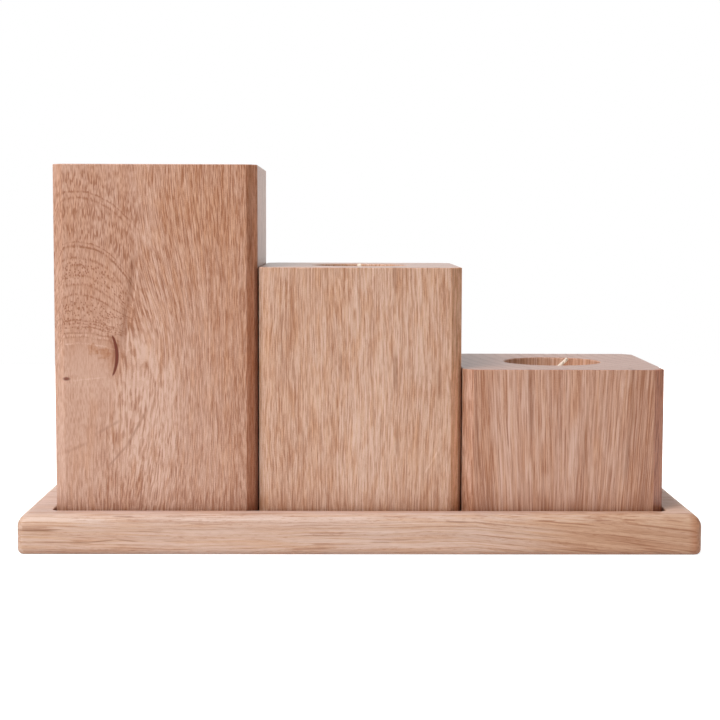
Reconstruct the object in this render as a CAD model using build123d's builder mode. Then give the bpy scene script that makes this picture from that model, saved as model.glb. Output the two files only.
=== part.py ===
"""Oak advent candle holder: three stepped blocks in a routed tray, with a tealight in each block.

Millimetres. X runs along the row of blocks with the tall one at -X, -Y is the front, +Z is up.
The origin is the middle of the tray's underside.
"""
import os
from math import cos, radians, sin

from build123d import *

# Oak blocks, square in plan, with their four upright edges planed off at 45 degrees
block_side = 80
tall_height = 140
mid_height = 100
short_height = 60
block_chamfer = 4.2
block_edge_ease = 0.4
row_gap = 0.5

# Oak tray, one board with a shallow pocket that the row of blocks stands in
tray_height = 16
end_rim = 12.5
side_rim = 9
tray_corner_round = 3
tray_top_round = 5
tray_bottom_round = 2
pocket_depth = 4
pocket_clearance = 1.0
pocket_corner_round = 3
pocket_mouth_ease = 0.6

# Tealight: a drawn cup with a rolled lip, poured wax, and a wick held by a sheet-metal sustainer
cup_diameter = 37.6
cup_height = 16
cup_wall = 0.3
cup_base_round = 1.8
lip_overhang = 0.5
wax_clearance = 0.1
wax_below_lip = 1.5
wax_dish = 0.6
wick_diameter = 1.8
wick_stand = 3.6
wick_lean_length = 8.8
wick_bend_radius = 2.5
sustainer_diameter = 13
sustainer_sheet = 0.3
sustainer_neck_height = 4
seat_clearance = 0.05

# Bore in the top of each block, drilled for the tealight, with the mark of the drill's centre point
bore_clearance = 0.7
flame_well_depth = 7
bore_rim_ease = 0.5
centre_mark_diameter = 4
centre_mark_depth = 1.5

# Each block's height, the heading that its wick leans to, counted from +X towards the back, and the lean
blocks = {
    "tall": (tall_height, 150, 60),
    "mid": (mid_height, 90, 57),
    "short": (short_height, 0, 47),
}

# Tray sizes that follow from the row of blocks
block_pitch = block_side + row_gap
pocket_length = len(blocks) * block_pitch - row_gap + 2 * pocket_clearance
pocket_width = block_side + 2 * pocket_clearance
tray_length = pocket_length + 2 * end_rim
tray_width = pocket_width + 2 * side_rim
pocket_floor = tray_height - pocket_depth

# Tealight and bore sizes that follow from the cup, with heights counted from the floor of the bore
cup_radius = cup_diameter / 2
cup_inner_radius = cup_radius - cup_wall
lip_radius = cup_radius + lip_overhang
lip_bead_radius = (cup_wall + lip_overhang) / 2
lip_seat = cup_height - lip_bead_radius
bore_radius = lip_radius + bore_clearance
bore_depth = cup_height + flame_well_depth
wax_radius = cup_inner_radius - wax_clearance
wax_base_round = cup_base_round - cup_wall - wax_clearance
wax_top = cup_height - wax_below_lip
wick_radius = wick_diameter / 2
neck_inner_radius = wick_radius + seat_clearance
neck_outer_radius = neck_inner_radius + sustainer_sheet
sustainer_radius = sustainer_diameter / 2
sheet_top = cup_wall + sustainer_sheet
neck_top = cup_wall + sustainer_neck_height
wick_corner = wax_top + wick_stand

os.makedirs("parts", exist_ok=True)

# Tray: a board with rounded corners, routed out for the row of blocks and rounded over all the way round
with BuildPart() as tray:
    with BuildSketch(Plane.XY):
        RectangleRounded(tray_length, tray_width, tray_corner_round)
    extrude(amount=tray_height)
    fillet(tray.faces().sort_by(Axis.Z)[-1].edges(), tray_top_round)
    fillet(tray.faces().sort_by(Axis.Z)[0].edges(), tray_bottom_round)
    with BuildSketch(Plane.XY.offset(pocket_floor)):
        RectangleRounded(pocket_length, pocket_width, pocket_corner_round)
    extrude(amount=pocket_depth, mode=Mode.SUBTRACT)
    rim_face = tray.faces().sort_by(Axis.Z)[-1]
    fillet(rim_face.inner_wires()[0].edges(), pocket_mouth_ease)
tray.part.label = "tray"
export_step(tray.part, "parts/tray.step")

for place, (name, (block_height, wick_heading, wick_lean)) in enumerate(blocks.items()):
    block_x = (place - (len(blocks) - 1) / 2) * block_pitch
    block_top = pocket_floor + block_height
    bore_floor = block_top - bore_depth
    upright = Axis((block_x, 0, bore_floor), (0, 0, 1))
    candle_plane = Plane((block_x, 0, bore_floor), x_dir=(1, 0, 0), z_dir=(0, -1, 0))

    # Block: a chamfered square post with a flat-bottomed bore and eased top and bottom edges
    with BuildPart() as block:
        with BuildSketch(Plane((block_x, 0, pocket_floor))) as block_section:
            Rectangle(block_side, block_side)
            chamfer(block_section.vertices(), block_chamfer)
        extrude(amount=block_height)
        with Locations((block_x, 0, block_top)):
            Hole(bore_radius, depth=bore_depth)
        fillet(block.edges().filter_by(GeomType.CIRCLE).sort_by(Axis.Z)[-1], bore_rim_ease)
        top_edges = block.faces().sort_by(Axis.Z)[-1].outer_wire().edges()
        bottom_edges = block.faces().sort_by(Axis.Z)[0].edges()
        fillet(top_edges + bottom_edges, block_edge_ease)
        with BuildSketch(candle_plane):
            with BuildLine():
                Polyline((0, 0), (centre_mark_diameter / 2, 0), (0, -centre_mark_depth), close=True)
            make_face()
        revolve(axis=upright, mode=Mode.SUBTRACT)
    block.part.label = f"{name}_block"
    export_step(block.part, f"parts/{name}_block.step")

    # Cup: drawn sheet with a rounded base and a half-round lip rolled outwards
    with BuildPart() as cup:
        with BuildSketch(candle_plane):
            with BuildLine():
                Polyline((0, 0), (cup_radius, 0), (cup_radius, lip_seat), (lip_radius, lip_seat))
                ThreePointArc(
                    (lip_radius, lip_seat),
                    (lip_radius - lip_bead_radius, cup_height),
                    (cup_inner_radius, lip_seat),
                )
                Polyline((cup_inner_radius, lip_seat), (cup_inner_radius, cup_wall), (0, cup_wall), (0, 0))
            make_face()
        revolve(axis=upright)
        base_edge = cup.edges().group_by(Axis.Z)[0]
        floor_edge = cup.faces().filter_by(Plane.XY).sort_by(Axis.Z)[1].edges()
        fillet(base_edge, cup_base_round)
        fillet(floor_edge, cup_base_round - cup_wall)
    cup.part.label = f"{name}_tealight_cup"
    export_step(cup.part, f"parts/{name}_tealight_cup.step")

    # Sustainer: a tin disc with a drawn neck that grips the foot of the wick
    with BuildPart() as sustainer:
        with BuildSketch(candle_plane):
            with BuildLine():
                Polyline(
                    (neck_inner_radius, cup_wall),
                    (sustainer_radius, cup_wall),
                    (sustainer_radius, sheet_top),
                    (neck_outer_radius, sheet_top),
                    (neck_outer_radius, neck_top),
                    (neck_inner_radius, neck_top),
                    close=True,
                )
            make_face()
        revolve(axis=upright)
    sustainer.part.label = f"{name}_wick_sustainer"
    export_step(sustainer.part, f"parts/{name}_wick_sustainer.step")

    # Wax: poured round the sustainer and the wick, with a shallow trough in its top
    with BuildPart() as wax:
        with BuildSketch(candle_plane):
            with BuildLine():
                trough = ThreePointArc(
                    (wax_radius, wax_top),
                    ((wax_radius + neck_inner_radius) / 2, wax_top - wax_dish),
                    (neck_inner_radius, wax_top),
                )
                Polyline(
                    trough @ 1,
                    (neck_inner_radius, neck_top + seat_clearance),
                    (neck_outer_radius + seat_clearance, neck_top + seat_clearance),
                    (neck_outer_radius + seat_clearance, sheet_top + seat_clearance),
                    (sustainer_radius + seat_clearance, sheet_top + seat_clearance),
                    (sustainer_radius + seat_clearance, cup_wall),
                    (wax_radius, cup_wall),
                    trough @ 0,
                )
            make_face()
        revolve(axis=upright)
        fillet(wax.edges().group_by(Axis.Z)[0].sort_by(SortBy.LENGTH)[-1], wax_base_round)
    wax.part.label = f"{name}_tealight_wax"
    export_step(wax.part, f"parts/{name}_tealight_wax.step")

    # Wick: round braided cotton, upright out of the wax and then bent over
    wick_plane = candle_plane.rotated((0, 0, wick_heading))
    wick_reach = wick_lean_length * sin(radians(wick_lean))
    wick_tip = wick_corner + wick_lean_length * cos(radians(wick_lean))
    with BuildPart() as wick:
        with BuildLine(wick_plane) as wick_line:
            FilletPolyline((0, cup_wall), (0, wick_corner), (wick_reach, wick_tip), radius=wick_bend_radius)
        with BuildSketch(Plane(wick_line.line @ 0, z_dir=wick_line.line % 0)):
            Circle(wick_radius)
        sweep()
    wick.part.label = f"{name}_tealight_wick"
    export_step(wick.part, f"parts/{name}_tealight_wick.step")
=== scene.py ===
"""Looks of the oak candle holder: solid figured oak, poured wax, drawn cups and braided wicks.

The frame is the CAD part's own, in metres. The sizes named here are in millimetres, and the oak is
worked out in them too.
"""

from dataclasses import dataclass
from math import cos, pi, radians, sin, tan

import bpy
from mathutils import Matrix, Vector


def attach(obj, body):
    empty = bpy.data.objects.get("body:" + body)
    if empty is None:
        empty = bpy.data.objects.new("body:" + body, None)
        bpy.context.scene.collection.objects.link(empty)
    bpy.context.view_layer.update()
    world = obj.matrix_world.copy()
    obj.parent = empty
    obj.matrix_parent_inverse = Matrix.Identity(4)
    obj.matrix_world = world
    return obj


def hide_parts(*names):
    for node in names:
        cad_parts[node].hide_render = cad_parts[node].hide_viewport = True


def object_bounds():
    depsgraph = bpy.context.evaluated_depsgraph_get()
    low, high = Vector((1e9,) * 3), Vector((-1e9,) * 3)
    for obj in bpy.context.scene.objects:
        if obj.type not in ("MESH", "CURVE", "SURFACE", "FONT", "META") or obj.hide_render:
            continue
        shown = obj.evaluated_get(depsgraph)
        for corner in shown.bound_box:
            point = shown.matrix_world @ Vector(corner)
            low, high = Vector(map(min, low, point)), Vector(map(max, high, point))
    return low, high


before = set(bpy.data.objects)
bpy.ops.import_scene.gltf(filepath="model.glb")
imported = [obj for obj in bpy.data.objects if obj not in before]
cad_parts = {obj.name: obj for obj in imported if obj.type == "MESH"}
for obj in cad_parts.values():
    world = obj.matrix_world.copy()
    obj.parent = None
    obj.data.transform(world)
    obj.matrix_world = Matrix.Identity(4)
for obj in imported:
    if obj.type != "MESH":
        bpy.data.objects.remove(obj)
cad_low, cad_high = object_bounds()

MM = 0.001
BLOCKS = ("tall", "mid", "short")

# Camera of the photograph, in millimetres and degrees
CAMERA_PLACE = (-6.71, -678.5, 129.03)
CAMERA_YAW = 0.59
CAMERA_PITCH = 4.773
CAMERA_ROLL = 0.17
CAMERA_FOCAL_PIXELS = 1630.5
IMAGE_PIXELS = 720
SENSOR_WIDTH = 36

# Light: a soft key from the front left, above the row, a weaker fill from behind, and even
# surroundings. Reflections show a white backdrop, which sets in between two shares of the way back.
KEY_HEADING = 45
KEY_HEIGHT = 54
LIGHT_DISTANCE = 1200
LIGHT_SIZE = 800
KEY_POWER = 17.0
FILL_WAY = (0.20, 0.92, 0.30)
FILL_POWER = 8.0
SURROUND_STRENGTH = 0.16
ROOM_STRENGTH = 0.12
BACKDROP_EDGE = (0.25, 0.6)
FLOOR_SIZE = 1600
FLOOR_ALBEDO = 0.95
FLOOR_GLOW = 0.80
FLOOR_SHADOW_SHARE = 0.8

# Places on the CAD part
BLOCK_FRONT = -40
TRAY_FRONT = -50
FOOT_LEVEL = 16
# Painted shade at the foot of each block: how high above the foot level it reaches, and how deep it
# goes
FOOT_PAINTED_SHADE_HEIGHT = 14
FOOT_PAINTED_SHADE_DEPTH = 0.20

# Wick, as the CAD part has it: upright from the cup's floor, then bent over. Each lean holds the
# block's middle, the floor of its bore, the heading and the angle.
WICK_START = 0.3
WICK_CORNER = 18.1
WICK_BEND_RADIUS = 2.5
WICK_LEAN_LENGTH = 8.8
WICK_LEANS = {
    "tall": (-80.5, 129, 150, 60),
    "mid": (0.0, 89, 90, 57),
    "short": (80.5, 49, 0, 47),
}
STRANDS = 3
STRAND_RADIUS = 0.46
CORE_RADIUS = 0.66
STRAND_SWING = (0.46, 0.26)
STRAND_PERIOD = 5.0
STRAND_STEP = 0.22
STRAND_SIDES = 8


def linear(red, green, blue):
    """Linear colour of a tone that is given from 0 to 255 as it looks on a screen."""
    tones = [c / 255 for c in (red, green, blue)]
    return [t / 12.92 if t <= 0.04045 else ((t + 0.055) / 1.055) ** 2.4 for t in tones] + [1.0]


def grey(tone):
    return (tone, tone, tone, 1)


# Shader arithmetic
class Field:
    """A number that shader nodes work out at every point of a surface, used like a plain number."""

    def __init__(self, socket):
        self.socket = socket
        self.tree = socket.id_data

    def math(self, operation, *others):
        return compute(self.tree, operation, self, *others)

    def __add__(self, other):
        return self.math("ADD", other)

    __radd__ = __add__

    def __sub__(self, other):
        return self.math("SUBTRACT", other)

    def __rsub__(self, other):
        return compute(self.tree, "SUBTRACT", other, self)

    def __mul__(self, other):
        return self.math("MULTIPLY", other)

    __rmul__ = __mul__

    def __truediv__(self, other):
        return self.math("DIVIDE", other)

    def __rtruediv__(self, other):
        return compute(self.tree, "DIVIDE", other, self)

    def squared(self):
        return self.math("MULTIPLY", self)

    def smooth(self, low, high):
        """0 up to low and 1 from high on, with a soft step between; reversed if low is higher."""
        node = new_node(self.tree, "ShaderNodeMapRange", interpolation_type="SMOOTHSTEP")
        feed(node.inputs["Value"], self)
        feed(node.inputs["From Min"], low)
        feed(node.inputs["From Max"], high)
        return Field(node.outputs["Result"])

    def near(self, place, reach):
        """1 at place, falling softly to 0 at reach to either side."""
        return (self - place).math("ABSOLUTE").smooth(reach, 0.0)


def new_node(tree, kind, **settings):
    node = tree.nodes.new(kind)
    for key, value in settings.items():
        setattr(node, key, value)
    return node


def feed(socket, value):
    """Links a field into a socket, or sets a plain number or colour on it."""
    if isinstance(value, Field):
        socket.id_data.links.new(value.socket, socket)
    else:
        socket.default_value = value


def compute(tree, operation, *values):
    node = new_node(tree, "ShaderNodeMath", operation=operation)
    for socket, value in zip(node.inputs, values):
        feed(socket, value)
    return Field(node.outputs[0])


def hypot(first, second):
    return (first.squared() + second.squared()).math("SQRT")


def vector(x, y, z):
    node = new_node(x.tree, "ShaderNodeCombineXYZ")
    for socket, value in zip(node.inputs, (x, y, z)):
        feed(socket, value)
    return node.outputs[0]


def noise(x, y, z, detail):
    """Smooth noise between about -0.5 and 0.5, with cells of size 1."""
    node = new_node(x.tree, "ShaderNodeTexNoise")
    x.tree.links.new(vector(x, y, z), node.inputs["Vector"])
    node.inputs["Scale"].default_value = 1.0
    node.inputs["Detail"].default_value = detail
    node.inputs["Roughness"].default_value = 0.5
    return Field(node.outputs["Fac"]) - 0.5


def spots(x, y, z):
    """Distance to the nearest of scattered points, one in each cell of size 1."""
    node = new_node(x.tree, "ShaderNodeTexVoronoi", feature="F1")
    x.tree.links.new(vector(x, y, z), node.inputs["Vector"])
    node.inputs["Scale"].default_value = 1.0
    return Field(node.outputs["Distance"])


def mix_colour(factor, first, second, blend="MIX"):
    node = new_node(factor.tree, "ShaderNodeMix", data_type="RGBA", blend_type=blend)
    feed(node.inputs["Factor"], factor)
    for name, value in (("A", first), ("B", second)):
        feed([s for s in node.inputs if s.name == name and s.type == "RGBA"][0], value)
    return Field([s for s in node.outputs if s.type == "RGBA"][0])


def ramp(field, stops):
    node = new_node(field.tree, "ShaderNodeValToRGB")
    feed(node.inputs["Fac"], field)
    elements = node.color_ramp.elements
    while len(elements) < len(stops):
        elements.new(0.5)
    for element, (place, colour) in zip(elements, stops):
        element.position = place
        element.color = colour
    return Field(node.outputs["Color"])


def new_material(name):
    """A material with its shader, the point in millimetres, and the way the surface faces."""
    material = bpy.data.materials.new(name)
    material.use_nodes = True
    tree = material.node_tree
    shader = tree.nodes["Principled BSDF"]
    place = new_node(tree, "ShaderNodeTexCoord")
    to_mm = new_node(tree, "ShaderNodeVectorMath", operation="SCALE")
    to_mm.inputs["Scale"].default_value = 1 / MM
    tree.links.new(place.outputs["Object"], to_mm.inputs[0])
    point = split(tree, to_mm.outputs[0])
    facing = split(tree, place.outputs["Normal"])
    return material, shader, point, facing


def split(tree, socket):
    node = new_node(tree, "ShaderNodeSeparateXYZ")
    tree.links.new(socket, node.inputs[0])
    return [Field(out) for out in node.outputs]


def closeness(tree):
    """How much of the view out of a surface is closed off by what stands near it, from 0 to 1."""
    node = new_node(tree, "ShaderNodeAmbientOcclusion", samples=SEAM_SAMPLES)
    node.inputs["Distance"].default_value = SEAM_REACH * MM
    return 1 - Field(node.outputs["AO"])


def bump(shader, height, distance):
    """Raises and sinks the surface's look by height, in shares of a distance in millimetres."""
    node = new_node(shader.id_data, "ShaderNodeBump")
    node.inputs["Strength"].default_value = 1.0
    node.inputs["Distance"].default_value = distance * MM
    feed(node.inputs["Height"], height)
    shader.id_data.links.new(node.outputs["Normal"], shader.inputs["Normal"])


# Oak
TONE_PLACES = (0.0, 0.25, 0.5, 0.75, 1.0)
TONE_SHARES = (0.64, 0.82, 1.0, 1.15, 1.27)
TONE_POWERS = (1.0, 1.62, 2.1)
WARM_TINT = (1.0, 0.90, 0.76, 1.0)
WARM_MEAN = 0.30
END_TINT = (0.75, 0.76, 0.85, 1.0)
END_TONE = 0.42
END_ROUGHER = -0.035
END_EDGE = (0.75, 0.95)
FIBRE_EDGE = 0.08
FIBRE_SHIFT = -0.04
FIBRE_MEAN = 0.63
FIBRE_OFFSET = 23

# Cells of the oak's noise: their size across and along the grain. Offsets keep two noises apart.
SWAY_CELL = (40, 90)
SWAY_OFFSET = 37
SWAY_REACH = 3
WAVE_CELL = (9, 24)
WAVE_REACH = 0.7
GRIT_CELL = 0.4
FLECK_OFFSET = 70
BAND_CELL = (7, 110)
STREAK_OFFSET = 90
STREAK_STRETCH = (1.3, 1.6)
SPREAD_CELL = (30, 200)
SPREAD_REACH = 1.2
PORE_CELL = (0.8, 3.2)
CLOUD_CELL = (4, 24)
CLOUD_OFFSET = 30
RAY_CELL = (0.8, 16, 40)
SIDE_SCALE = 100

# Where flecks, streaks and pores start and are full, how ragged they are, and their means
FLECK_EDGE = (0.10, -0.22)
FLECK_RAGGED = 0.06
FLECK_MEAN = 0.3
STREAK_EDGE = (-0.13, -0.24)
STREAK_MEAN = 0.08
PORE_EDGE = (0.34, 0.20)
PORE_SHARES = (0.25, 0.75)
PORE_MEAN = 0.08
PORE_ROUGHER = 0.15
PORE_SUNK = 0.5
FIBRE_SMOOTHER = 0.04
BUMP_DEPTH = 0.03
CLOUD_WARMTH = 1.1
WARM_MOST = 1.4

# Growth rings, in shares of a ring: where the early wood rises and fades, and two fine dark lines
RING_RAGGED = 0.15
EARLY_RISE = (0.0, 0.05)
EARLY_FADE = (0.55, 0.10)
EARLY_DEPTH = 0.4
EARLY_MEAN = 0.1
RING_LINES = (0.03, 0.14)
RING_LINE_REACH = 0.04
SECOND_LINE_SHARE = 0.8
RING_LINE_BASE = 0.6

# What shades the end grain, and how far the knot calms the figure round it
END_RAY = 0.32
END_EARLY = 0.18
END_PORE = 0.25
END_BAND = 0.3
END_GRIT = 0.25
KNOT_CALMS_FLECK = 0.7
KNOT_CALMS_GRIT = 0.6
PATCH_EDGE = (1.0, 0.2)


@dataclass
class Wood:
    """How one piece of oak was cut from its log, and how its figure shows.

    Lengths are in millimetres. Depths are shares of the whole range of tones. Colours are linear.
    Each row of fibres holds their width, length and depth.
    """

    grain: str
    pith: tuple
    squeeze: float
    ring_width: float
    ring_shift: float
    ring_depth: float
    sway: float
    fibres: tuple
    grit_depth: float
    fleck_size: tuple
    fleck_depth: float
    fleck_warmth: float
    streak_depth: float
    band_depth: float
    pore_depth: float
    middle: tuple
    roughness: float
    seed: float


TALL = Wood(
    grain="Z", pith=(-107.5, 60), squeeze=0.54,
    ring_width=3.0, ring_shift=0.07, ring_depth=0.0, sway=1.0,
    fibres=((0.32, 8.0, 0.42), (0.34, 3.0, 0.28), (0.8, 14.0, 0.15)), grit_depth=0.35,
    fleck_size=(1.0, 10.0), fleck_depth=0.11, fleck_warmth=0.6,
    streak_depth=0.22, band_depth=0.40, pore_depth=0.10,
    middle=(0.526, 0.296, 0.207), roughness=0.35, seed=3.0,
)
MID = Wood(
    grain="Z", pith=(-150, 130), squeeze=1.0,
    ring_width=4.2, ring_shift=0.0, ring_depth=0.06, sway=1.3,
    fibres=((0.28, 11.0, 0.33), (0.30, 3.5, 0.20), (0.6, 24.0, 0.16)), grit_depth=0.32,
    fleck_size=(1.1, 11.0), fleck_depth=0.15, fleck_warmth=0.6,
    streak_depth=0.25, band_depth=0.12, pore_depth=0.10,
    middle=(0.576, 0.345, 0.243), roughness=0.35, seed=17.0,
)
SHORT = Wood(
    grain="Z", pith=(240, 40), squeeze=1.0,
    ring_width=5.0, ring_shift=0.3, ring_depth=0.12, sway=0.8,
    fibres=((0.30, 20.0, 0.36), (0.36, 6.0, 0.18), (0.8, 40.0, 0.24)), grit_depth=0.28,
    fleck_size=(1.3, 24.0), fleck_depth=0.12, fleck_warmth=0.6,
    streak_depth=0.30, band_depth=0.45, pore_depth=0.10,
    middle=(0.520, 0.290, 0.203), roughness=0.40, seed=41.0,
)
TRAY = Wood(
    grain="X", pith=(-60, 35), squeeze=1.0,
    ring_width=3.4, ring_shift=0.2, ring_depth=0.14, sway=1.2,
    fibres=((0.55, 20.0, 0.09), (1.1, 70.0, 0.13), (0.40, 4.0, 0.10)), grit_depth=0.12,
    fleck_size=(1.0, 40.0), fleck_depth=0.10, fleck_warmth=0.6,
    streak_depth=0.34, band_depth=0.20, pore_depth=0.14,
    middle=(0.580, 0.386, 0.297), roughness=0.52, seed=71.0,
)

# Marks on the front faces: two ends, each along X and up Z, then half width and depth of tone
TALL_MARKS_AND_SHADE = (
    ((-82.6, 58.5), (-93.0, 39.5), 0.9, 0.50),
    ((-91.2, 42.5), (-100.0, 32.5), 0.8, 0.42),
    ((-93.0, 52.4), (-104.8, 45.8), 1.1, 0.34),
    ((-88.0, 122.0), (-94.6, 76.0), 2.4, 0.54),
    ((-86.0, 118.0), (-92.2, 77.0), 0.55, -0.55),
    ((-106.0, 43.4), (-117.5, 38.2), 1.1, 0.24),
    ((-114.0, 67.2), (-99.0, 68.8), 0.45, -0.20),
    ((-72.6, 138.0), (-71.0, 126.0), 1.6, 0.30),
    ((-66.0, 142.0), (-63.5, 128.0), 0.8, 0.40),
    ((-69.0, 128.0), (-67.5, 118.0), 0.7, 0.36),
    ((-43.2, 195.0), (-43.2, -30.0), 2.2, 0.46),
    ((-40.2, 195.0), (-40.2, -30.0), 1.6, 0.34),
    # This wide, faint mark is painted shade: it darkens the lower part of the right chamfer, where
    # the middle block shuts off light from the right
    ((-42.2, 150.0), (-42.2, -90.0), 3.2, 0.22),
)
MID_MARKS = (
    ((-0.4, 118.0), (-0.3, 86.0), 0.45, 0.50),
    ((13.4, 106.0), (11.1, 94.5), 0.6, -0.45),
    ((31.8, 41.5), (25.4, 30.3), 0.6, -0.35),
    ((13.4, 118.0), (13.5, 100.0), 1.5, 0.50),
    ((13.8, 81.0), (13.9, 62.5), 1.4, 0.55),
    ((31.1, 74.0), (31.2, 59.0), 1.6, 0.52),
    ((14.8, 53.0), (14.8, 36.0), 1.2, 0.48),
    ((-7.8, 80.0), (-7.8, 68.0), 1.2, 0.45),
    ((-31.0, 96.0), (-31.0, 73.0), 0.5, 0.46),
    ((22.9, 108.0), (22.9, 97.5), 0.5, -0.40),
)
SHORT_MARKS = (
    ((66.7, 80.0), (67.8, 42.0), 1.5, 0.46),
    ((81.3, 73.0), (81.4, 61.5), 0.5, 0.46),
    ((89.8, 64.0), (88.6, 27.0), 0.6, 0.48),
    ((107.6, 84.0), (107.4, 44.0), 1.4, 0.48),
    ((107.4, 54.0), (104.5, 24.0), 1.4, 0.46),
    ((77.4, 64.0), (78.6, 45.0), 0.5, 0.38),
    ((46.3, 54.0), (47.1, 29.0), 0.6, 0.50),
    ((50.7, 33.0), (50.8, 8.0), 1.2, 0.34),
    ((58.9, 68.0), (59.1, 40.5), 1.6, -0.16),
)
TRAY_MARKS = (
    ((-137.0, 9.7), (-117.0, 9.6), 0.60, 0.85),
    ((-125.0, 5.2), (-104.0, 4.9), 0.50, 0.85),
    ((-108.0, 4.8), (-93.4, 6.3), 0.5, 0.55),
    ((-96.0, 6.3), (-86.0, 5.1), 0.5, 0.50),
    ((-97.0, 15.0), (-88.5, 15.0), 0.4, 0.50),
    ((-77.5, 14.8), (-67.8, 14.8), 0.4, 0.48),
    ((-87.5, 9.4), (-75.8, 9.4), 0.4, 0.50),
    ((-77.5, 5.4), (-67.8, 5.4), 0.4, 0.45),
    ((32.5, 13.1), (42.8, 13.1), 0.35, 0.60),
    ((3.2, 5.1), (13.2, 5.3), 0.4, 0.50),
)
MARK_DEEP = 14
MARK_WOBBLE = 1.6
MARK_SWAY = {"X": 0.5, "Z": 0.3}
MARK_RAGGED = 0.8
MARK_LIMITS = (-0.5, 1.0)
MARK_END_SOFT = 0.5
MARK_END_SHARE = 0.3

# Painted light and shade near the ends of a piece along X, on the chamfers and the rounded corner:
# where each tint starts, where it is full, and its colour
TRAY_PAINTED_EDGE_LIGHT = ((128.0, 131.5, (0.86, 0.70, 0.60, 1.0)),)
TALL_PAINTED_EDGE_LIGHT = ((-44.9, -44.5, (1.20, 1.04, 0.92, 1.0)),)
MID_PAINTED_EDGE_LIGHT = ((35.6, 36.0, (1.28, 1.16, 1.02, 1.0)), (-35.6, -36.0, (0.98, 1.03, 1.06, 1.0)))
SHORT_PAINTED_EDGE_LIGHT = ((116.1, 116.5, (1.00, 0.68, 0.52, 1.0)),)
MARK_AND_SHADE_COLOUR = (0.50, 0.35, 0.25, 1.0)

# Painted shade in the seams where two blocks stand close: where each starts along X, and where it
# is full
TALL_SEAM_SHADE = ((-42.9, -41.2),)
MID_SEAM_SHADE = ((38.0, 39.5),)
SEAM_SAMPLES = 4
SEAM_REACH = 4.0
SEAM_CLOSE = (0.08, 0.34)
SEAM_SHADE_TINT = (0.20, 0.10, 0.06, 1.0)

# How deep the front's tints and the seams' painted shade go, and the tray's painted shade
# underneath, painted sheen on its upper edge and painted shade on its rim
EDGE_DEEP = (5.4, 4.0)
UNDER_SHADE_EDGE = (3.2, 0.4)
UPPER_SHEEN_FACING = (0.1, 0.8)
RIM_SHADE_FACING = (0.9, 0.99)
UNDER_SHADE_TINT = (0.78, 0.74, 0.72, 1.0)
UPPER_SHEEN_TINT = (1.0, 1.05, 1.10, 1.0)
RIM_SHADE_TINT = (0.94, 0.93, 0.97, 1.0)

# Soft patches of the fronts: middle along X and up Z, half width, half height, then the warmth and
# the tone that they add
TALL_PATCHES = (
    (-62, 134, 26, 40, 0.4, -0.14),
    (-48, 70, 14, 90, 0.3, -0.12),
    (-84, 58, 24, 44, -0.30, 0.26),
    (-95.5, 77, 7, 13, 0.1, -0.22),
)
MID_PATCHES = (
    (4, 62, 15, 110, -0.15, 0.12),
    (22, 90, 9, 40, -0.10, 0.08),
    (-27, 50, 11, 80, 0.0, -0.10),
)
SHORT_PATCHES = (
    (48.5, 42, 7, 80, 0.25, -0.24),
    (112, 42, 9, 80, 0.0, -0.22),
    (57.5, 42, 7, 80, -0.1, 0.14),
    (83, 45, 7, 80, -0.1, 0.14),
)
TRAY_PATCHES = (
    (122, 9, 75, 60, 0.85, -0.10),
    (12, 6, 50, 9, -0.1, 0.09),
    (95, 4, 45, 8, 0.2, -0.12),
)

# The short block's fibres fan out: the middle and the level that they fan from, and the rate.
# The tray's fibres drift down from a place along X on, at a rate.
SHORT_FAN = (80, 45, 0.002)
TRAY_DRIFT = (45, 0.11)

# Knot of the tall block, on its front face, and how it calms the figure in it and below it
KNOT_PLACE = (-105.3, 75.9)
KNOT_SIZE = (10.8, 8.8)
KNOT_EDGE = (1.10, 0.80)
KNOT_WOBBLE_CELL = 5
KNOT_WOBBLE = 0.3
KNOT_CALM = 0.5
BELOW_KNOT = (72, 62)
BELOW_KNOT_CALM = 0.2

# Rings that crest above the knot: height, half width and depth of each. They keep to a zone on the
# left with a leaning edge, which fades towards the foot.
KNOT_ARCS = (
    (141.4, 0.70, 0.50),
    (138.8, 0.90, 0.40),
    (133.0, 2.0, 0.10),
    (121.6, 0.45, 0.50),
    (120.0, 0.70, 0.80),
    (115.5, 0.90, 0.45),
    (112.5, 0.80, 0.25),
    (108.6, 0.80, 0.25),
    (105.2, 0.90, 0.30),
    (101.2, 0.80, 0.42),
    (97.6, 0.50, 0.15),
    (91.2, 0.55, 0.45),
    (89.9, 0.50, 0.40),
    (88.6, 0.50, 0.45),
    (86.2, 0.40, 0.45),
    (84.4, 0.40, 0.30),
    (85.3, 0.45, -0.25),
    (82.0, 0.35, -0.40),
)
ARC_BEND = 0.012
ARC_BEND_STEPS = ((84, 100, 0.022), (105, 125, -0.007))
ARC_WOBBLE = 1.2
ARC_RAGGED = 0.3
ARC_BREAK_CELL = (1.1, 2.5)
ARC_BREAK_EDGE = (-0.10, 0.08)
ARC_BREAK_SHARES = (0.3, 0.7)
ZONE_WOBBLE = 10
ZONE_EDGE = (0.4, -1.0)
ZONE_FOOT = (16, 40)
ZONE_FOOT_SHARES = (0.3, 0.7)
ARC_CREST = -110.5
ARC_BACKWARD_DROP = 1.8
ARC_EDGE = -86.0
ARC_EDGE_LEANS = ((115, 70, 8.0), (65, 15, 12.0))
ARC_EDGE_SOFT = (4.0, 16.0)
ARC_EDGE_SOFT_LEVELS = (75, 45)

# Fibres near the knot: how far they bulge to its right, and the short ones in the zone
BULGE = 12.0
BULGE_TALL = (44.0, 90.0)
BULGE_REACHES = (4.0, 30.0, 62.0)
SHORT_FIBRES = ((0.40, 2.4, 0.26), (0.8, 5.0, 0.16))
SHORT_FIBRE_SEED = 5

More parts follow.
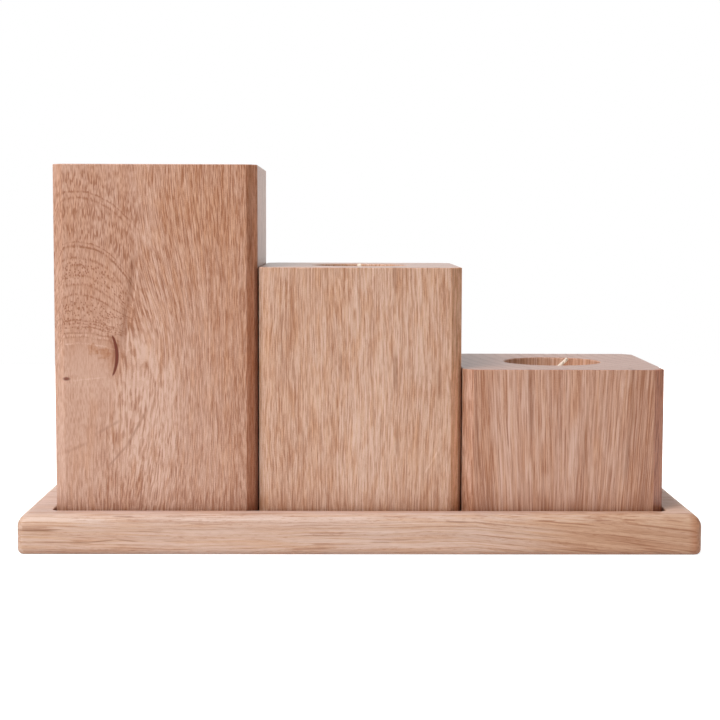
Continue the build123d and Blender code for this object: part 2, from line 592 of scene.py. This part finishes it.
# Pores in rows along the rings, as dots and, higher up, as dashes. Bands: height, reach and share.
DOT_BANDS = ((110.5, 7.0, 0.9), (96.5, 6.5, 1.1), (89.9, 3.2, 1.3))
DOT_SPACING = (0.95, 1.3)
DOT_EDGE = (0.42, 0.20)
DOT_BASE = 0.12
DOT_FOOT = (83, 86)
DOT_TOP = (120, 117)
DOT_DARK = 0.70
DASH_BANDS = ((145.5, 5.0, 0.9), (134.0, 5.0, 0.8), (126.5, 5.0, 1.0))
DASH_SPACING = (0.42, 3.2)
DASH_OFFSET = 9
DASH_EDGE = (0.02, -0.12)
DASH_BASE = 0.45
DASH_FOOT = (117, 120)
DASH_DARK = 0.42

# Inside the knot: small orange swirls, each with its middle and reach, and a pale part
SWIRLS = ((-104.9, 79.6, 2.6), (-100.4, 78.2, 3.0))
SWIRL_CELL = 1.6
SWIRL_WOBBLE = 5.0
SWIRL_CORE = 0.3
SWIRL_DARK = 0.16
SWIRL_WARMTH = 0.8
SWIRL_LINE_RATE = 0.8
SWIRL_LINE = (0.5, 0.4)
SWIRL_LINE_CORE = 0.5
SWIRL_LINE_DARK = 0.10
PALE_PLACE = (-107.5, 70.0)
PALE_SIZE = (12.0, 13.0)
PALE_EDGE = (1.1, 0.3)
PALE_LIGHT = 0.12
PALE_WARMTH = 0.3
LOWER_LEVELS = (70, 60)
LOWER_WARMTH = -0.15

# The dark check at the knot's right with its halo, and a bark spot
CHECK_CENTRE = (-113.8, 77.2)
CHECK_RADIUS = 18.35
CHECK_HALF_TALL = 8.5
CHECK_HALF_WIDTH = 0.85
CHECK_END_SOFT = 1.5
CHECK_SIDE = (-105, -103)
CHECK_MIDDLE = 1.15
CHECK_TAPER = 0.75
CHECK_CRISP = 2.0
CHECK_DEEP = (-10, -20)
CHECK_COLOUR = (0.15, 0.022, 0.006, 1.0)
HALO_RISE = (-2.6, -1.2)
HALO_FADE = (0.6, 0.0)
HALO_LEVELS = (72, 77)
HALO_SHARES = (0.3, 0.7)
HALO_DARK = 0.36
HALO_WARMTH = 0.5
SPOT_PLACE = (-115.4, 68.05)
SPOT_SIZE = (1.8, 0.9)
SPOT_EDGE = (1.1, 0.4)
SPOT_DARK = 0.88


def oak(name, wood, marks, fan=None, drift=None, knot=False, patches=(), painted_edge_light=(), seam_shades=()):
    """Solid oak: rings, fibres, rays and pores run through the piece, and end grain shows."""
    material, shader, (x, y, z), facing = new_material(name)
    across, along, end_facing = (x, z, facing[2]) if wood.grain == "Z" else (z, x, facing[0])

    # The fibres sway on their way along the piece
    wide, long = SWAY_CELL
    slow = [
        noise(across / wide + shift, y / wide, along / long + wood.seed, 1.0)
        for shift in (0, SWAY_OFFSET)
    ]
    wide, long = WAVE_CELL
    quick = noise(across / wide, y / wide, along / long + wood.seed, 1.0)
    flow = across + slow[0] * (wood.sway * SWAY_REACH) + quick * (wood.sway * WAVE_REACH)
    depth = y + slow[1] * (wood.sway * SWAY_REACH)
    if fan:
        middle, level, rate = fan
        flow = (flow - middle) / ((along - level) * rate + 1) + middle
    if drift:
        start, rate = drift
        flow = flow + (along - start).math("MAXIMUM", 0.0) * rate
    from_pith = (flow - wood.pith[0], depth - wood.pith[1])
    radius = hypot(from_pith[0] * wood.squeeze, from_pith[1])
    side = from_pith[0].math("ARCTAN2", from_pith[1] * -1.0) * SIDE_SCALE
    if knot:
        flow = bulge(flow, z)

    # Fibres: crisp light and dark lines with fine grit between them, and wide, dark, warm flecks
    figure, first = fibre_lines(flow, depth, along, wood.seed, wood.fibres)
    grit = noise(x / GRIT_CELL, y / GRIT_CELL, z / GRIT_CELL, 0.0)
    wide, long = wood.fleck_size
    fleck = noise(flow / wide + FLECK_OFFSET, depth / wide, along / long + wood.seed, 1.0)
    fleck = (fleck + first * FLECK_RAGGED).smooth(*FLECK_EDGE)
    wide, long = BAND_CELL
    band = noise(flow / wide, depth / wide, along / long + wood.seed, 1.5)
    wide, long, _ = wood.fibres[0]
    wider, longer = wide * STREAK_STRETCH[0], long * STREAK_STRETCH[1]
    streak = noise(flow / wider + STREAK_OFFSET, depth / wide, along / longer + wood.seed, 0.0)
    streak = streak.smooth(*STREAK_EDGE)

    # Growth rings: a pair of fine dark lines, then a porous band that fades into dense late wood
    wide, long = SPREAD_CELL
    spread = noise(flow / wide, depth / wide, along / long + wood.seed, 2.0) * SPREAD_REACH
    rings = (radius + spread + first * RING_RAGGED) / wood.ring_width
    ring = (rings + wood.ring_shift).math("FRACT")
    early = ring.smooth(*EARLY_RISE) * ring.smooth(*EARLY_FADE)
    line, second_line = [ring.near(place, RING_LINE_REACH) for place in RING_LINES]
    lines = (line + second_line * SECOND_LINE_SHARE) * (first + RING_LINE_BASE)
    wide, long = PORE_CELL
    pore = spots(flow / wide, depth / wide, along / long + wood.seed).smooth(*PORE_EDGE)
    pore = pore * (early * PORE_SHARES[1] + PORE_SHARES[0])

    if knot:
        branch = round_knot((x, y, z), wood.seed)
        zone = branch["zone"]
        figure = figure * (1 - zone) + branch["figure"] * zone
        fleck = fleck * (1 - zone * KNOT_CALMS_FLECK)
        grit = grit * (1 - zone * KNOT_CALMS_GRIT)
        streak = streak * (1 - zone)
    tone = 0.5 + figure + grit * wood.grit_depth + band * wood.band_depth
    tone = tone - (fleck - FLECK_MEAN) * wood.fleck_depth
    tone = tone - (pore - PORE_MEAN) * wood.pore_depth
    tone = tone - (streak - STREAK_MEAN) * wood.streak_depth
    tone = tone - (early * EARLY_DEPTH - EARLY_MEAN + lines) * wood.ring_depth
    if knot:
        tone = tone - branch["arcs"]
    soft = [
        oval(x, z, (middle, level), (half_width, half_height)).smooth(*PATCH_EDGE)
        for middle, level, half_width, half_height, _, _ in patches
    ]
    for patch, (*_, share) in zip(soft, patches):
        tone = tone + patch * share

    # End grain: fine rays run out from the pith across the rings
    end = end_facing.math("ABSOLUTE").smooth(*END_EDGE)
    ray_wide, ray_deep, ray_long = RAY_CELL
    ray = noise(side / ray_wide, radius / ray_deep, along / ray_long, 1.0)
    end_tone = END_TONE + ray * END_RAY - early * END_EARLY - pore * END_PORE
    end_tone = end_tone + band * END_BAND + grit * END_GRIT
    tone = tone * (1 - end) + end_tone * end

    # Dark marks of the front face, one row of the tall block's being painted shade, and painted
    # shade that darkens the foot of a block
    front = y.smooth(y_front(wood) + MARK_DEEP, y_front(wood) + MARK_DEEP / 2)
    marks_and_shade = 0.0
    # The rows hold marks of the wood and, for the tall block, one row of painted shade
    for mark in marks:
        marks_and_shade = marks_and_shade + stroke(x, z, quick * MARK_WOBBLE, wood.grain, *mark)
    marks_and_shade = marks_and_shade * (first * MARK_RAGGED + 1.0) * front
    marks_and_shade = marks_and_shade.math("MAXIMUM", MARK_LIMITS[0]).math("MINIMUM", MARK_LIMITS[1])
    # Painted shade: each block darkens towards its foot, where the tray shuts off the light
    if wood.grain == "Z":
        foot = (z - FOOT_LEVEL).smooth(FOOT_PAINTED_SHADE_HEIGHT, 0.0)
        tone = tone - foot.squared() * FOOT_PAINTED_SHADE_DEPTH
    tone = tone - marks_and_shade.math("MINIMUM", 0.0)

    stops = [
        (place, [part * share ** power for part, power in zip(wood.middle, TONE_POWERS)] + [1.0])
        for place, share in zip(TONE_PLACES, TONE_SHARES)
    ]
    colour = ramp(tone, stops)
    wide, long = CLOUD_CELL
    cloud = noise(flow / wide + CLOUD_OFFSET, depth / wide, along / long + wood.seed * 2, 1.0)
    warm = WARM_MEAN + (fleck - FLECK_MEAN) * wood.fleck_warmth + cloud * CLOUD_WARMTH
    for patch, (*_, warmth, _) in zip(soft, patches):
        warm = warm + patch * warmth
    if knot:
        warm = warm + branch["warm"]
    warm = warm.math("MAXIMUM", 0.0).math("MINIMUM", WARM_MOST)
    colour = mix_colour(warm, colour, WARM_TINT, "MULTIPLY")
    colour = mix_colour(marks_and_shade.math("MAXIMUM", 0.0), colour, MARK_AND_SHADE_COLOUR, "MULTIPLY")
    fore = (y - y_front(wood)).smooth(*EDGE_DEEP)
    # Painted light and shade on the chamfers and corners at the ends of the front
    for start, full, tint in painted_edge_light:
        colour = mix_colour(x.smooth(start, full) * fore, colour, tint, "MULTIPLY")
    # Painted shade between two blocks, darkest where near surfaces close off the view out of the
    # chamfer
    for start, full in seam_shades:
        shade = x.smooth(start, full) * fore * closeness(shader.id_data).smooth(*SEAM_CLOSE)
        colour = mix_colour(shade, colour, SEAM_SHADE_TINT, "MULTIPLY")
    # Painted light on the tray: shade on its underside, a paler, cooler sheen on its upward rounded
    # edge, and a greyer shade on its flat rim
    if wood.grain == "X":
        colour = mix_colour(z.smooth(*UNDER_SHADE_EDGE), colour, UNDER_SHADE_TINT, "MULTIPLY")
        colour = mix_colour(facing[2].smooth(*UPPER_SHEEN_FACING), colour, UPPER_SHEEN_TINT, "MULTIPLY")
        colour = mix_colour(facing[2].smooth(*RIM_SHADE_FACING), colour, RIM_SHADE_TINT, "MULTIPLY")
    colour = mix_colour(end, colour, END_TINT, "MULTIPLY")
    if knot:
        colour = mix_colour(branch["crack"], colour, CHECK_COLOUR)
    feed(shader.inputs["Base Color"], colour)
    roughness = wood.roughness + pore * PORE_ROUGHER - first * FIBRE_SMOOTHER + end * END_ROUGHER
    feed(shader.inputs["Roughness"], roughness)
    bump(shader, tone - pore * PORE_SUNK, BUMP_DEPTH)
    return material


def fibre_lines(flow, depth, along, seed, rows):
    """Light and dark lines with crisp ends, laid over each other, and the first of them alone."""
    laid = 0.0
    first = None
    for number, (wide, long, share) in enumerate(rows):
        lattice = noise(flow / wide + number * FIBRE_OFFSET, depth / wide, along / long + seed, 0.0)
        line = lattice.smooth(FIBRE_SHIFT - FIBRE_EDGE, FIBRE_SHIFT + FIBRE_EDGE) - FIBRE_MEAN
        laid = laid + line * share
        first = first or line
    return laid, first


def y_front(wood):
    """Where the piece's front face is."""
    return TRAY_FRONT if wood.grain == "X" else BLOCK_FRONT


def stroke(x, z, wobble, grain, start, end, half_width, depth):
    """A mark that runs from start to end on the front, soft at its edges and its ends."""
    step = Vector(end) - Vector(start)
    length = step.length
    unit = step / length
    if grain == "X":
        z = z + wobble * MARK_SWAY[grain]
    else:
        x = x + wobble * MARK_SWAY[grain]
    dx, dz = x - start[0], z - start[1]
    run = dx * unit[0] + dz * unit[1]
    off = (dx * unit[1] - dz * unit[0]).math("ABSOLUTE")
    fade = length * MARK_END_SHARE
    ends = run.smooth(-MARK_END_SOFT, fade) * run.smooth(length + MARK_END_SOFT, length - fade)
    return off.smooth(half_width, 0.0) * ends * depth


def bulge(flow, z):
    """Bends the fibres of the tall block out to the right of its knot."""
    dx = flow - KNOT_PLACE[0]
    above, below = BULGE_TALL
    reach = z.math("LESS_THAN", KNOT_PLACE[1]) * (below - above) + above
    tall = (((z - KNOT_PLACE[1]) / reach).squared() * -1.0).math("EXPONENT")
    inner_reach, peak, outer_reach = BULGE_REACHES
    return flow - dx.smooth(inner_reach, peak) * dx.smooth(outer_reach, peak) * tall * BULGE


def round_knot(point, seed):
    """The tall block's left part: short fibres, rows of pores and arched rings round a knot."""
    x, y, z = point
    cells = [part / KNOT_WOBBLE_CELL for part in point]
    wobble = noise(*cells, 1.0)
    edge = ARC_EDGE
    for high, low, lean in ARC_EDGE_LEANS:
        edge = edge - z.smooth(high, low) * lean
    soft = z.smooth(*ARC_EDGE_SOFT_LEVELS) * ARC_EDGE_SOFT[1] + ARC_EDGE_SOFT[0]
    zone = ((x - edge + wobble * ZONE_WOBBLE) / soft).smooth(*ZONE_EDGE)
    zone = zone * (z.smooth(*ZONE_FOOT) * ZONE_FOOT_SHARES[1] + ZONE_FOOT_SHARES[0])
    inner = oval(x, z, KNOT_PLACE, KNOT_SIZE) + wobble * KNOT_WOBBLE
    inside = inner.smooth(*KNOT_EDGE)
    calm = 1 - inside * KNOT_CALM - z.smooth(*BELOW_KNOT) * BELOW_KNOT_CALM * (1 - inside)

    # Arched rings, broken up by the fibres, and pores that lie in rows along them
    figure, ragged = fibre_lines(x, y, z, seed + SHORT_FIBRE_SEED, SHORT_FIBRES)
    bend = ARC_BEND
    for low, high, change in ARC_BEND_STEPS:
        bend = bend + z.smooth(low, high) * change
    crest = z + bend * (x - ARC_CREST).squared() + (y - BLOCK_FRONT) * ARC_BACKWARD_DROP
    crest = crest + wobble * ARC_WOBBLE
    jagged = crest + ragged * ARC_RAGGED
    wide, long = ARC_BREAK_CELL
    broken = noise(x / wide, y / wide, crest / long, 0.0).smooth(*ARC_BREAK_EDGE)
    broken = broken * ARC_BREAK_SHARES[1] + ARC_BREAK_SHARES[0]
    arcs = banded(jagged, 0.0, KNOT_ARCS)
    wide, long = DOT_SPACING
    dots = spots(x / wide, y / wide, crest / long).smooth(*DOT_EDGE)
    dots = dots * banded(crest, DOT_BASE, DOT_BANDS) * z.smooth(*DOT_FOOT) * crest.smooth(*DOT_TOP)
    wide, long = DASH_SPACING
    dashes = noise(x / wide + DASH_OFFSET, y / wide, crest / long, 0.0).smooth(*DASH_EDGE)
    dashes = dashes * banded(crest, DASH_BASE, DASH_BANDS) * crest.smooth(*DASH_FOOT)
    arcs = (arcs * broken + dots * DOT_DARK + dashes * DASH_DARK) * zone

    # Small orange swirls inside the knot
    pale = oval(x, z, PALE_PLACE, PALE_SIZE).smooth(*PALE_EDGE)
    warm = z.smooth(*LOWER_LEVELS) * LOWER_WARMTH - pale * PALE_WARMTH
    cells = [part / SWIRL_CELL for part in point]
    curl = noise(*cells, 1.0)
    swirl = 0.0
    for middle, level, reach in SWIRLS:
        own = hypot(x - middle, z - level) + curl * SWIRL_WOBBLE
        swirl = swirl + own.smooth(reach, reach * SWIRL_CORE)
        lines = (own * SWIRL_LINE_RATE).math("FRACT").near(*SWIRL_LINE)
        arcs = arcs + lines * own.smooth(reach, reach * SWIRL_LINE_CORE) * SWIRL_LINE_DARK
    figure = figure * calm + pale * PALE_LIGHT - swirl * SWIRL_DARK

    # The dark check along the knot's right side, and a small bark spot at its lower left
    rise = z - CHECK_CENTRE[1]
    arc = hypot(x - CHECK_CENTRE[0], rise) - CHECK_RADIUS
    ends = rise.math("ABSOLUTE").smooth(CHECK_HALF_TALL, CHECK_HALF_TALL - CHECK_END_SOFT)
    ends = ends * x.smooth(*CHECK_SIDE)
    taper = CHECK_MIDDLE - (rise / CHECK_HALF_TALL).squared() * CHECK_TAPER
    check = (arc / taper).near(0.0, CHECK_HALF_WIDTH)
    halo = arc.smooth(*HALO_RISE) * arc.smooth(*HALO_FADE)
    halo = halo * (z.smooth(*HALO_LEVELS) * HALO_SHARES[1] + HALO_SHARES[0])
    spot = oval(x, z, SPOT_PLACE, SPOT_SIZE).smooth(*SPOT_EDGE)
    crack = (check * CHECK_CRISP).math("MINIMUM", 1.0) * ends
    crack = (crack + halo * ends * HALO_DARK + spot * SPOT_DARK).math("MINIMUM", 1.0)
    crack = crack * y.smooth(*CHECK_DEEP)
    warm = warm + swirl * SWIRL_WARMTH + halo * ends * HALO_WARMTH
    return {"zone": zone, "figure": figure, "arcs": arcs, "warm": warm, "crack": crack}


def oval(x, z, middle, size):
    """0 in the middle of an oval on the front, and 1 on its outline."""
    return hypot((x - middle[0]) / size[0], (z - middle[1]) / size[1])


def banded(field, base, bands):
    """A base, and to it the share of each band, which is full at a height and gone at a reach."""
    total = base
    for height, reach, share in bands:
        total = total + field.near(height, reach) * share
    return total


# Wax, metal and cotton: cells of their noise, tones as they look on a screen, roughness with its
# changes, and the depth of the bump
WAX_CLOUD = 5
WAX_GRAIN = 2.2
WAX_TONES = ((0.3, (232, 226, 213)), (0.7, (243, 239, 229)))
WAX_ROUGHNESS = (0.36, 0.2)
WAX_SUBSURFACE = 0.4
WAX_SUBSURFACE_RADIUS = (1.0, 0.8, 0.6)
WAX_SUBSURFACE_DEPTH = 2.5
WAX_BUMP = 0.12
CUP_LINES = (1.5, 0.12)
CUP_BLOTCH = 4
CUP_TONES = ((0.3, (214, 214, 216)), (0.7, (232, 232, 233)))
CUP_ROUGHNESS = (0.26, 0.14, 0.1)
CUP_BUMP = 0.02
TIN_SPANGLE = 1.3
TIN_TONES = ((0.2, (188, 188, 190)), (0.8, (210, 210, 211)))
TIN_ROUGHNESS = (0.3, 0.2)
TIN_BUMP = 0.015
COTTON_FIBRE = 0.25
COTTON_TONES = ((0.25, (228, 208, 188)), (0.7, (250, 236, 220)))
COTTON_ROUGHNESS = (0.62, 0.3)
COTTON_SHEEN = 0.2
COTTON_BUMP = 0.08


def screen_tones(field, tones):
    return ramp(field, [(place, linear(*tone)) for place, tone in tones])


def candle_wax():
    material, shader, (x, y, z), _ = new_material("candle_wax")
    cloud = noise(x / WAX_CLOUD, y / WAX_CLOUD, z / WAX_CLOUD, 3.0)
    feed(shader.inputs["Base Color"], screen_tones(cloud + 0.5, WAX_TONES))
    feed(shader.inputs["Roughness"], WAX_ROUGHNESS[0] + cloud * WAX_ROUGHNESS[1])
    shader.inputs["Subsurface Weight"].default_value = WAX_SUBSURFACE
    shader.inputs["Subsurface Radius"].default_value = WAX_SUBSURFACE_RADIUS
    shader.inputs["Subsurface Scale"].default_value = WAX_SUBSURFACE_DEPTH * MM
    bump(shader, noise(x / WAX_GRAIN, y / WAX_GRAIN, z / WAX_GRAIN, 2.0) + cloud, WAX_BUMP)
    return material


def cup_aluminium():
    material, shader, (x, y, z), _ = new_material("cup_aluminium")
    wide, tall = CUP_LINES
    draw_lines = noise(x / wide, y / wide, z / tall, 2.0)
    blotch = noise(x / CUP_BLOTCH, y / CUP_BLOTCH, z / CUP_BLOTCH, 2.0)
    feed(shader.inputs["Base Color"], screen_tones(blotch + 0.5, CUP_TONES))
    base, lined, blotched = CUP_ROUGHNESS
    feed(shader.inputs["Roughness"], base + draw_lines * lined + blotch * blotched)
    shader.inputs["Metallic"].default_value = 1.0
    bump(shader, draw_lines, CUP_BUMP)
    return material


def sustainer_tin():
    material, shader, (x, y, z), _ = new_material("sustainer_tin")
    spangle = spots(x / TIN_SPANGLE, y / TIN_SPANGLE, z / TIN_SPANGLE)
    feed(shader.inputs["Base Color"], screen_tones(spangle, TIN_TONES))
    feed(shader.inputs["Roughness"], TIN_ROUGHNESS[0] + spangle * TIN_ROUGHNESS[1])
    shader.inputs["Metallic"].default_value = 1.0
    bump(shader, spangle, TIN_BUMP)
    return material


def wick_cotton():
    material, shader, (x, y, z), _ = new_material("wick_cotton")
    fibre = noise(x / COTTON_FIBRE, y / COTTON_FIBRE, z / COTTON_FIBRE, 3.0)
    feed(shader.inputs["Base Color"], screen_tones(fibre + 0.5, COTTON_TONES))
    feed(shader.inputs["Roughness"], COTTON_ROUGHNESS[0] + fibre * COTTON_ROUGHNESS[1])
    shader.inputs["Sheen Weight"].default_value = COTTON_SHEEN
    bump(shader, fibre, COTTON_BUMP)
    return material


def wick_path(block):
    """Points along the wick at even steps, each with the way it runs and the side it bends to."""
    block_x, bore_floor, heading, lean = WICK_LEANS[block]
    lean = radians(lean)
    side = Vector((cos(radians(heading)), sin(radians(heading)), 0))
    upright = Vector((0, 0, 1))
    foot = Vector((block_x, 0, bore_floor))
    tangent = WICK_BEND_RADIUS * tan(lean / 2)
    straight = WICK_CORNER - tangent - WICK_START
    bend = WICK_BEND_RADIUS * lean
    whole = straight + bend + WICK_LEAN_LENGTH - tangent
    count = int(whole / STRAND_STEP)
    for index in range(count + 1):
        run = whole * index / count
        turn = min(max(run - straight, 0) / WICK_BEND_RADIUS, lean)
        along = upright * cos(turn) + side * sin(turn)
        out = WICK_BEND_RADIUS * (1 - cos(turn))
        up = WICK_START + min(run, straight) + WICK_BEND_RADIUS * sin(turn)
        rest = max(run - straight - bend, 0)
        place = foot + side * out + upright * up + along * rest
        yield run, place, along, side * cos(turn) - upright * sin(turn)


def braid_wick(block, material):
    """Three cotton strands plaited round a core along the CAD wick, in place of it."""
    path = list(wick_path(block))
    verts, faces = [], []
    for strand in range(STRANDS + 1):
        first = len(verts)
        centres = []
        core = strand == STRANDS
        radius = CORE_RADIUS if core else STRAND_RADIUS
        for run, place, along, outward in path:
            phase = 2 * pi * (run / STRAND_PERIOD + strand / STRANDS)
            across = along.cross(outward)
            swing = outward * (STRAND_SWING[1] * sin(2 * phase))
            swing = swing + across * (STRAND_SWING[0] * sin(phase))
            centres.append((place if core else place + swing, outward, across))
        for centre, outward, across in centres:
            for corner in range(STRAND_SIDES):
                angle = 2 * pi * corner / STRAND_SIDES
                verts.append((centre + (outward * cos(angle) + across * sin(angle)) * radius) * MM)
        for ring in range(len(path) - 1):
            low = first + ring * STRAND_SIDES
            for corner in range(STRAND_SIDES):
                near, far = low + corner, low + (corner + 1) % STRAND_SIDES
                faces.append((near, far, far + STRAND_SIDES, near + STRAND_SIDES))
        faces.append(tuple(first + corner for corner in reversed(range(STRAND_SIDES))))
        last = first + (len(path) - 1) * STRAND_SIDES
        faces.append(tuple(last + corner for corner in range(STRAND_SIDES)))
    mesh = bpy.data.meshes.new(f"{block}_braid")
    mesh.from_pydata(verts, [], faces)
    mesh.polygons.foreach_set("use_smooth", [True] * len(mesh.polygons))
    mesh.materials.append(material)
    braid = bpy.data.objects.new(f"{block}_braid", mesh)
    bpy.context.scene.collection.objects.link(braid)
    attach(braid, f"{block}_tealight")
    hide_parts(f"{block}_tealight_wick")


def dress(node, material):
    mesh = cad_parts[node].data
    mesh.materials.clear()
    mesh.materials.append(material)


# Stage
def build_world():
    """White backdrop behind the row, and a dimmer room before it, which only reflections show."""
    world = bpy.data.worlds.new("surroundings")
    bpy.context.scene.world = world
    world.use_nodes = True
    tree = world.node_tree
    background = tree.nodes["Background"]
    background.inputs["Color"].default_value = (1, 1, 1, 1)
    way = split(tree, new_node(tree, "ShaderNodeTexCoord").outputs["Generated"])
    behind = way[1].smooth(*BACKDROP_EDGE)
    glossy, camera, transmitted = ray_kinds(tree, "Glossy", "Camera", "Transmission")
    shown = camera.math("MAXIMUM", transmitted)
    reflected = behind * (1 - ROOM_STRENGTH) + ROOM_STRENGTH
    strength = glossy * (reflected - SURROUND_STRENGTH) + SURROUND_STRENGTH
    feed(background.inputs["Strength"], strength * (1 - shown) + shown)


def ray_kinds(tree, *kinds):
    """For each kind of ray, 1 where such a ray looks at the surface and 0 elsewhere."""
    path = new_node(tree, "ShaderNodeLightPath")
    return [Field(path.outputs[f"Is {kind} Ray"]) for kind in kinds]


def seen_directly(tree):
    """1 for what the camera, a reflection or glass shows, and 0 for light cast on a surface."""
    camera, glossy, transmitted = ray_kinds(tree, "Camera", "Glossy", "Transmission")
    return camera.math("MAXIMUM", glossy).math("MAXIMUM", transmitted)


def build_floor():
    half = FLOOR_SIZE * MM / 2
    mesh = bpy.data.meshes.new("floor")
    corners = [(-half, -half, 0), (half, -half, 0), (half, half, 0), (-half, half, 0)]
    mesh.from_pydata(corners, [], [(0, 1, 2, 3)])
    floor = bpy.data.objects.new("floor", mesh)
    bpy.context.scene.collection.objects.link(floor)
    material = bpy.data.materials.new("pale_floor")
    material.use_nodes = True
    tree = material.node_tree
    tree.nodes.remove(tree.nodes["Principled BSDF"])
    lit = new_node(tree, "ShaderNodeBsdfDiffuse")
    lit.inputs["Color"].default_value = grey(FLOOR_ALBEDO)
    shadowed = new_node(tree, "ShaderNodeBsdfDiffuse")
    shadowed.inputs["Color"].default_value = grey(FLOOR_SHADOW_SHARE)
    glow = new_node(tree, "ShaderNodeEmission")
    glow.inputs["Strength"].default_value = FLOOR_GLOW
    shown = new_node(tree, "ShaderNodeAddShader")
    tree.links.new(shadowed.outputs[0], shown.inputs[0])
    tree.links.new(glow.outputs[0], shown.inputs[1])
    either = new_node(tree, "ShaderNodeMixShader")
    feed(either.inputs[0], seen_directly(tree))
    tree.links.new(lit.outputs[0], either.inputs[1])
    tree.links.new(shown.outputs[0], either.inputs[2])
    tree.links.new(either.outputs[0], tree.nodes["Material Output"].inputs["Surface"])
    mesh.materials.append(material)


def soft_light(name, towards, power):
    """A round soft light that stands off in a direction and points at the middle of the part."""
    light = bpy.data.lights.new(name, "AREA")
    light.shape = "DISK"
    light.size = LIGHT_SIZE * MM
    light.energy = power
    lamp = bpy.data.objects.new(name, light)
    lamp.location = (cad_low + cad_high) / 2 + towards * LIGHT_DISTANCE * MM
    lamp.rotation_mode = "QUATERNION"
    lamp.rotation_quaternion = towards.to_track_quat("Z", "Y")
    bpy.context.scene.collection.objects.link(lamp)
    return lamp


def build_lights():
    heading, height = radians(KEY_HEADING), radians(KEY_HEIGHT)
    key_way = Vector((-sin(heading) * cos(height), -cos(heading) * cos(height), sin(height)))
    soft_light("key", key_way, KEY_POWER)
    fill = soft_light("fill", Vector(FILL_WAY).normalized(), FILL_POWER)
    fill.visible_glossy = False


def build_camera():
    data = bpy.data.cameras.new("camera")
    data.sensor_width = SENSOR_WIDTH
    data.lens = SENSOR_WIDTH * CAMERA_FOCAL_PIXELS / IMAGE_PIXELS
    camera = bpy.data.objects.new("camera", data)
    turn = (
        Matrix.Rotation(radians(-CAMERA_YAW), 4, "Z")
        @ Matrix.Rotation(radians(90 - CAMERA_PITCH), 4, "X")
        @ Matrix.Rotation(radians(CAMERA_ROLL), 4, "Z")
    )
    camera.matrix_world = Matrix.Translation(Vector(CAMERA_PLACE) * MM) @ turn
    bpy.context.scene.collection.objects.link(camera)
    bpy.context.scene.camera = camera


tray_oak = oak(
    "tray_oak", TRAY, TRAY_MARKS,
    drift=TRAY_DRIFT, patches=TRAY_PATCHES, painted_edge_light=TRAY_PAINTED_EDGE_LIGHT,
)
tall_oak = oak(
    "tall_oak", TALL, TALL_MARKS_AND_SHADE,
    knot=True, patches=TALL_PATCHES, painted_edge_light=TALL_PAINTED_EDGE_LIGHT, seam_shades=TALL_SEAM_SHADE,
)
mid_oak = oak(
    "mid_oak", MID, MID_MARKS,
    patches=MID_PATCHES, painted_edge_light=MID_PAINTED_EDGE_LIGHT, seam_shades=MID_SEAM_SHADE,
)
short_oak = oak(
    "short_oak", SHORT, SHORT_MARKS,
    fan=SHORT_FAN, patches=SHORT_PATCHES, painted_edge_light=SHORT_PAINTED_EDGE_LIGHT,
)
dress("tray", tray_oak)
dress("tall_block", tall_oak)
dress("mid_block", mid_oak)
dress("short_block", short_oak)
wax = candle_wax()
aluminium = cup_aluminium()
tin = sustainer_tin()
cotton = wick_cotton()
for block in BLOCKS:
    dress(f"{block}_tealight_cup", aluminium)
    dress(f"{block}_tealight_wax", wax)
    dress(f"{block}_wick_sustainer", tin)
    braid_wick(block, cotton)
build_world()
build_floor()
build_lights()
build_camera()
bpy.context.scene.view_settings.view_transform = "Standard"
